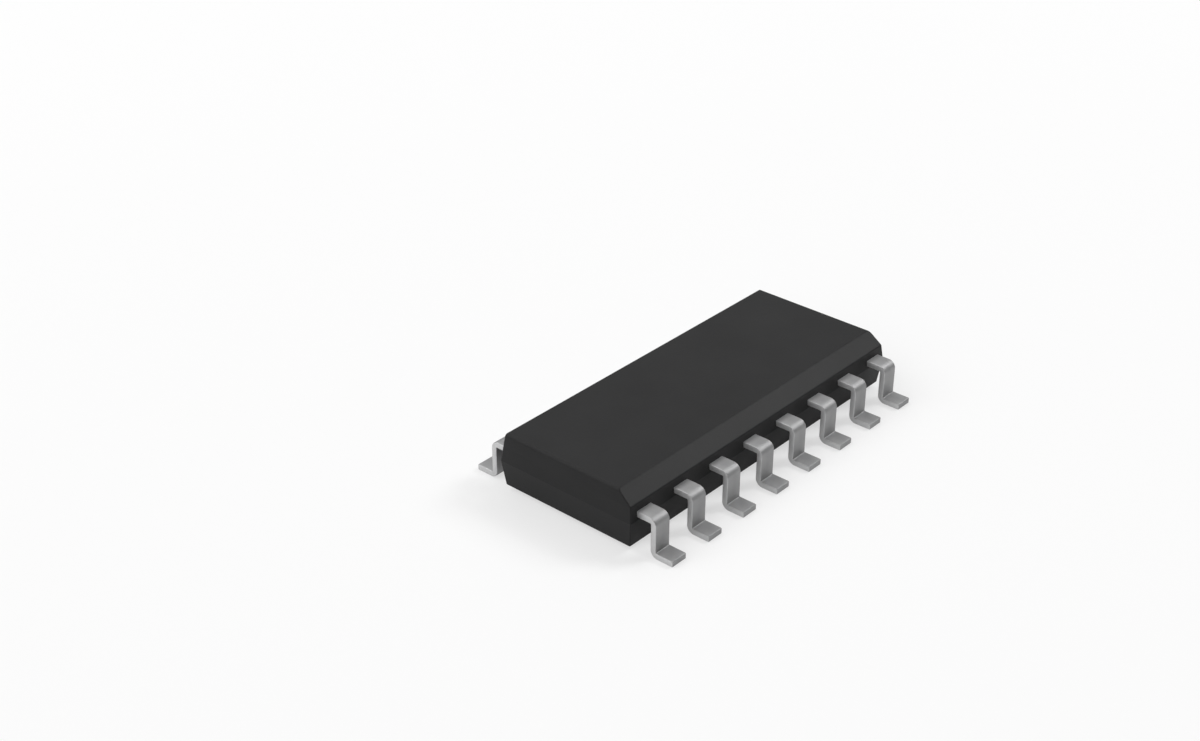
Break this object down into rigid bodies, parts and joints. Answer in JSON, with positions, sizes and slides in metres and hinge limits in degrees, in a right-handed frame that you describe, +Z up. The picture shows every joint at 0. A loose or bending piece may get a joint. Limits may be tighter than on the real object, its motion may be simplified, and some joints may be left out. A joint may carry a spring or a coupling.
{
  "type": "decoder chip",
  "caption": "Black moulded small-outline chip with gull-wing leads down both long sides and a bevelled edge, a logic decoder that is soldered flat to a circuit board.",
  "frame": {"origin": "centre of the seating plane, under the feet", "axes": "+X along the body, away from the end of lead 1; -Y towards the bevelled long edge with leads 1 to 8; +Z up, out of the top face"},
  "size_m": [0.0098, 0.006, 0.0015],
  "materials": {
    "mould_compound": "matte",
    "matte_tin": "satin",
    "copper_alloy": "satin",
    "silver_epoxy": "matte",
    "silicon": "polished",
    "gold": "polished"
  },
  "bodies": {
    "root": {"mould_body": "mould_compound", "die_paddle": "copper_alloy", "die_attach": "silver_epoxy", "silicon_die": "silicon", "lead_01": "matte_tin", "lead_02": "matte_tin", "lead_03": "matte_tin", "lead_04": "matte_tin", "lead_05": "matte_tin", "lead_06": "matte_tin", "lead_07": "matte_tin", "lead_08": "matte_tin", "lead_09": "matte_tin", "lead_10": "matte_tin", "lead_11": "matte_tin", "lead_12": "matte_tin", "lead_13": "matte_tin", "lead_14": "matte_tin", "lead_15": "matte_tin", "lead_16": "matte_tin", "bond_wire_01": "gold", "bond_wire_02": "gold", "bond_wire_03": "gold", "bond_wire_04": "gold", "bond_wire_05": "gold", "bond_wire_06": "gold", "bond_wire_07": "gold", "bond_wire_08": "gold", "bond_wire_09": "gold", "bond_wire_10": "gold", "bond_wire_11": "gold", "bond_wire_12": "gold", "bond_wire_13": "gold", "bond_wire_14": "gold", "bond_wire_15": "gold", "bond_wire_16": "gold"}
  },
  "joints": []
}
